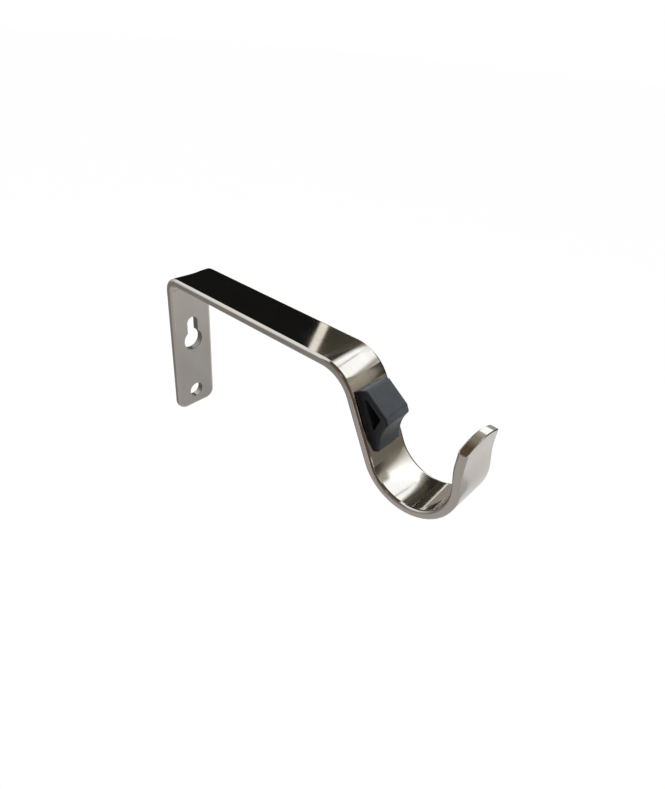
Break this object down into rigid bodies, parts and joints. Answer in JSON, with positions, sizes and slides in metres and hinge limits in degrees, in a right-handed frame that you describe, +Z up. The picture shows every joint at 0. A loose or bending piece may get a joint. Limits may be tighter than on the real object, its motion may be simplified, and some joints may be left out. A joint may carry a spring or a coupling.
{
  "type": "curtain pole bracket",
  "caption": "Bent flat steel bracket with a keyhole wall plate, straight arm and open hook that cradles a curtain pole against a moulded plastic grip insert.",
  "frame": {"origin": "on the wall face of the plate, in the middle of the strip, between the keyhole and the screw hole", "axes": "+X leads away from the wall along the arm, Y runs along the pole, +Z is up"},
  "size_m": [0.1312, 0.018, 0.06],
  "materials": {
    "strip_metal": "nickel plated, satin along the strip",
    "insert_plastic": "fine moulded satin"
  },
  "bodies": {
    "root": {"bracket_strip": "strip_metal", "grip_insert": "insert_plastic"}
  },
  "joints": []
}
